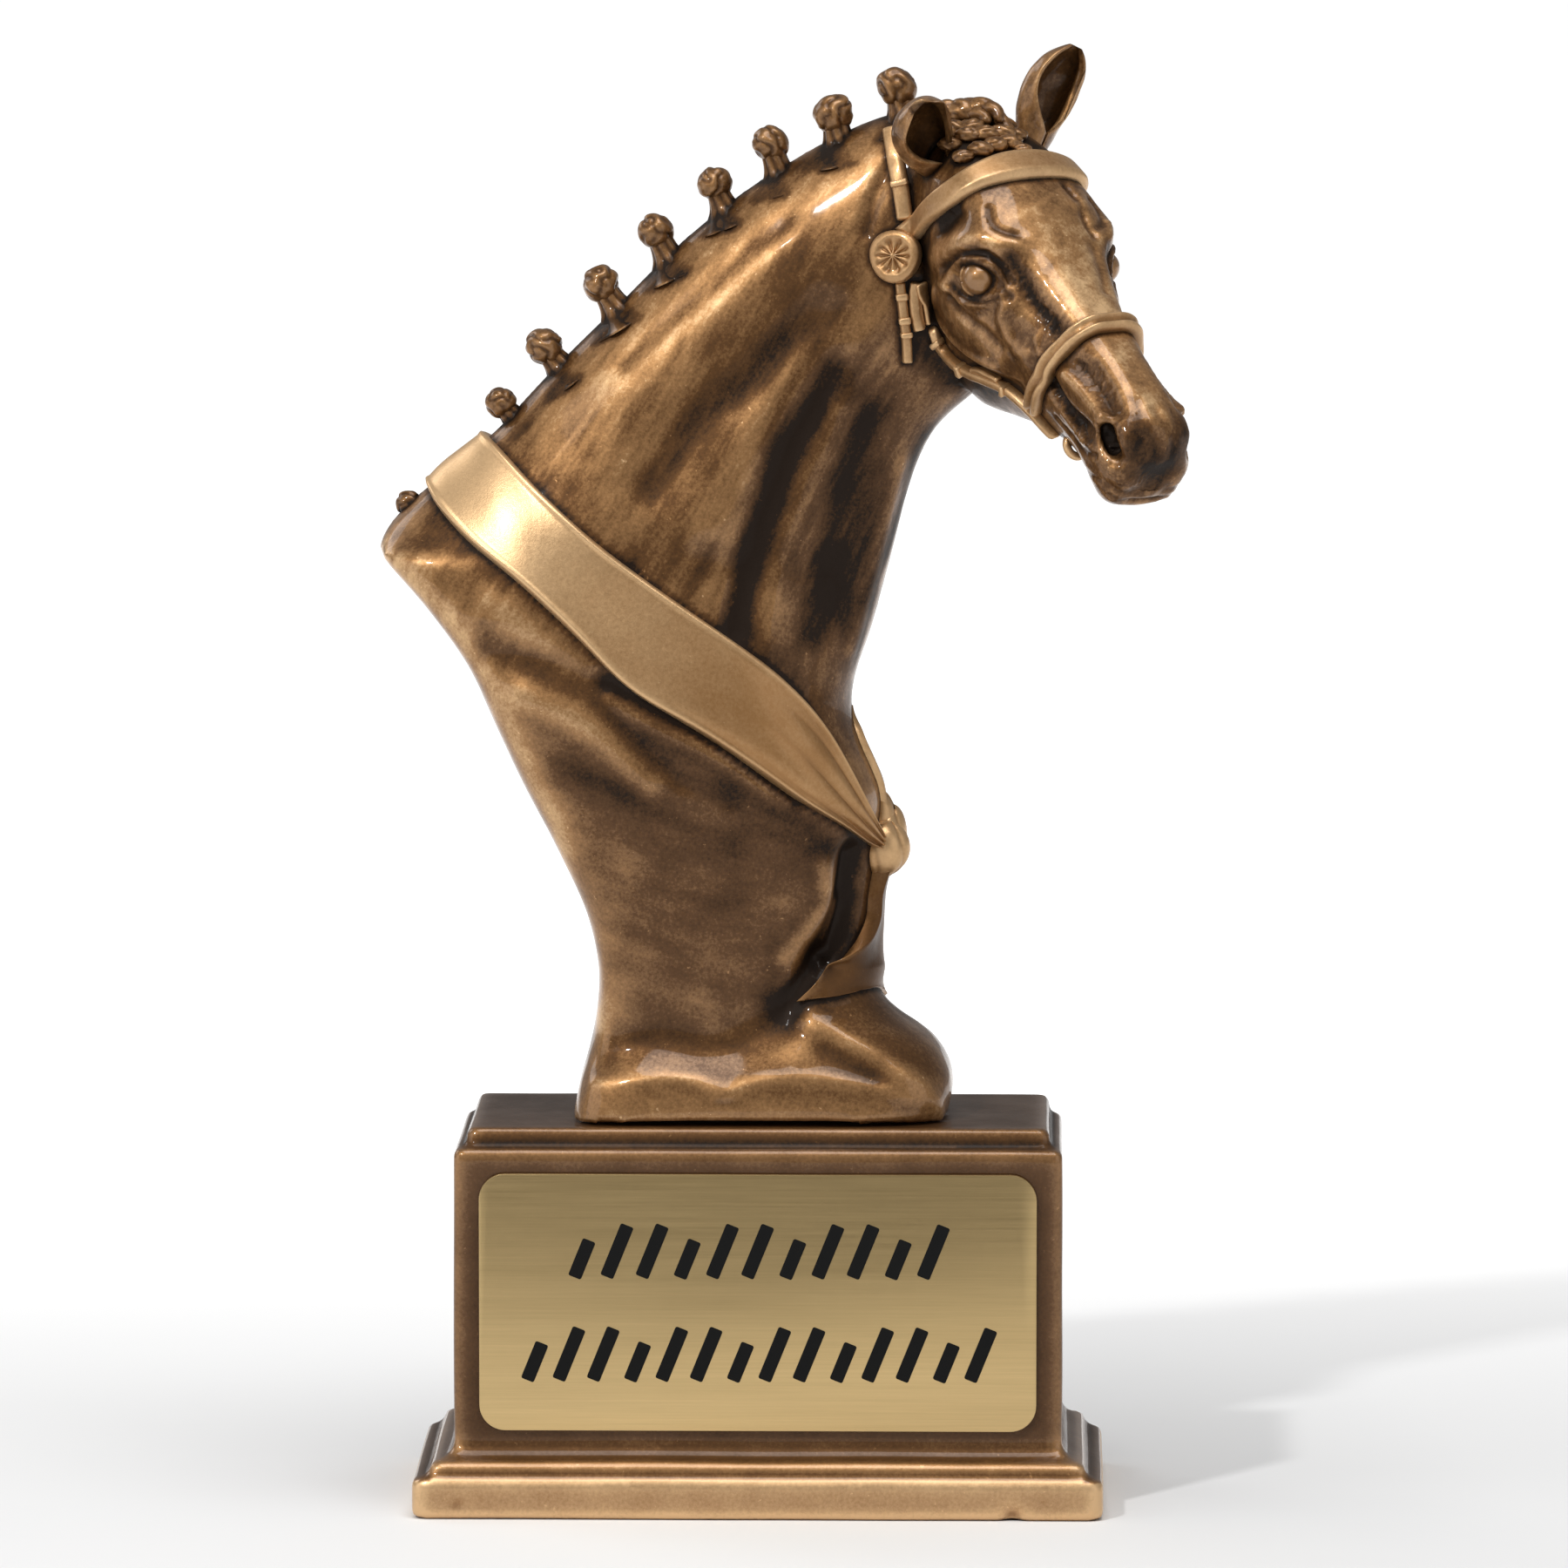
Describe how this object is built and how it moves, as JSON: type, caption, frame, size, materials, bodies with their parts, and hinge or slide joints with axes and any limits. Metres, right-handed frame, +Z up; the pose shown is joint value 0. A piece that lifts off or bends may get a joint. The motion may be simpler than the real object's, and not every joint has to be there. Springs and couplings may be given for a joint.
{
  "type": "horse bust trophy",
  "caption": "Bust of a plaited show horse with bridle and sash on a stepped plinth with a name plate, cast in bronzed resin.",
  "frame": {"origin": "middle of the plinth's flat underside", "axes": "+Z up along the trophy's height, -Y out of the front with the name plate, +X the side that the chest faces"},
  "size_m": [0.1009, 0.0614, 0.1822],
  "materials": {
    "bronzed_resin": "antique bronze paint rubbed gold on raised parts, gloss lacquer",
    "bronzed_resin_plinth": "antique bronze paint, satin lacquer",
    "brushed_brass": "brushed gold"
  },
  "bodies": {
    "root": {"horse_bust": "bronzed_resin", "plinth": "bronzed_resin_plinth", "name_plate": "brushed_brass"}
  },
  "joints": []
}
